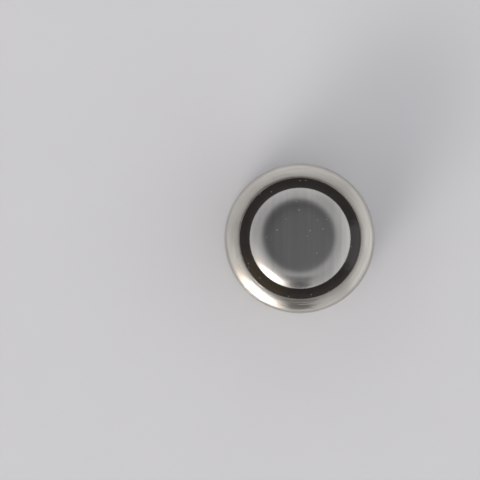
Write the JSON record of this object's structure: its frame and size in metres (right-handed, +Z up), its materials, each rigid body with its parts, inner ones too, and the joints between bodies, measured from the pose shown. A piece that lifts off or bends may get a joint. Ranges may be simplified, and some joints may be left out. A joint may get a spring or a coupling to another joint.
{
  "type": "button cell battery",
  "caption": "Silver-oxide button cell: a drawn can with its rim rolled over a dark nylon gasket, a domed negative cap, and the pellet, separator and zinc anode sealed inside.",
  "frame": {"origin": "centre of the can's flat base, which is the positive contact face", "axes": "+Z up the cell's axis, from the positive face to the negative cap; +X and +Y along the arms of the polarity mark"},
  "size_m": [0.0078, 0.0078, 0.0054],
  "materials": {
    "can_steel": "satin",
    "cap_metal": "satin",
    "gasket_nylon": "satin",
    "sleeve_steel": "satin",
    "pressed_oxide": "matte",
    "separator_film": "satin",
    "absorbent_fibre": "matte",
    "zinc_gel": "satin"
  },
  "bodies": {
    "root": {"positive_can": "can_steel", "negative_cap": "cap_metal", "sealing_gasket": "gasket_nylon", "pellet_sleeve": "sleeve_steel", "silver_oxide_pellet": "pressed_oxide", "barrier_membrane": "separator_film", "absorbent_pad": "absorbent_fibre", "zinc_anode": "zinc_gel"}
  },
  "joints": []
}
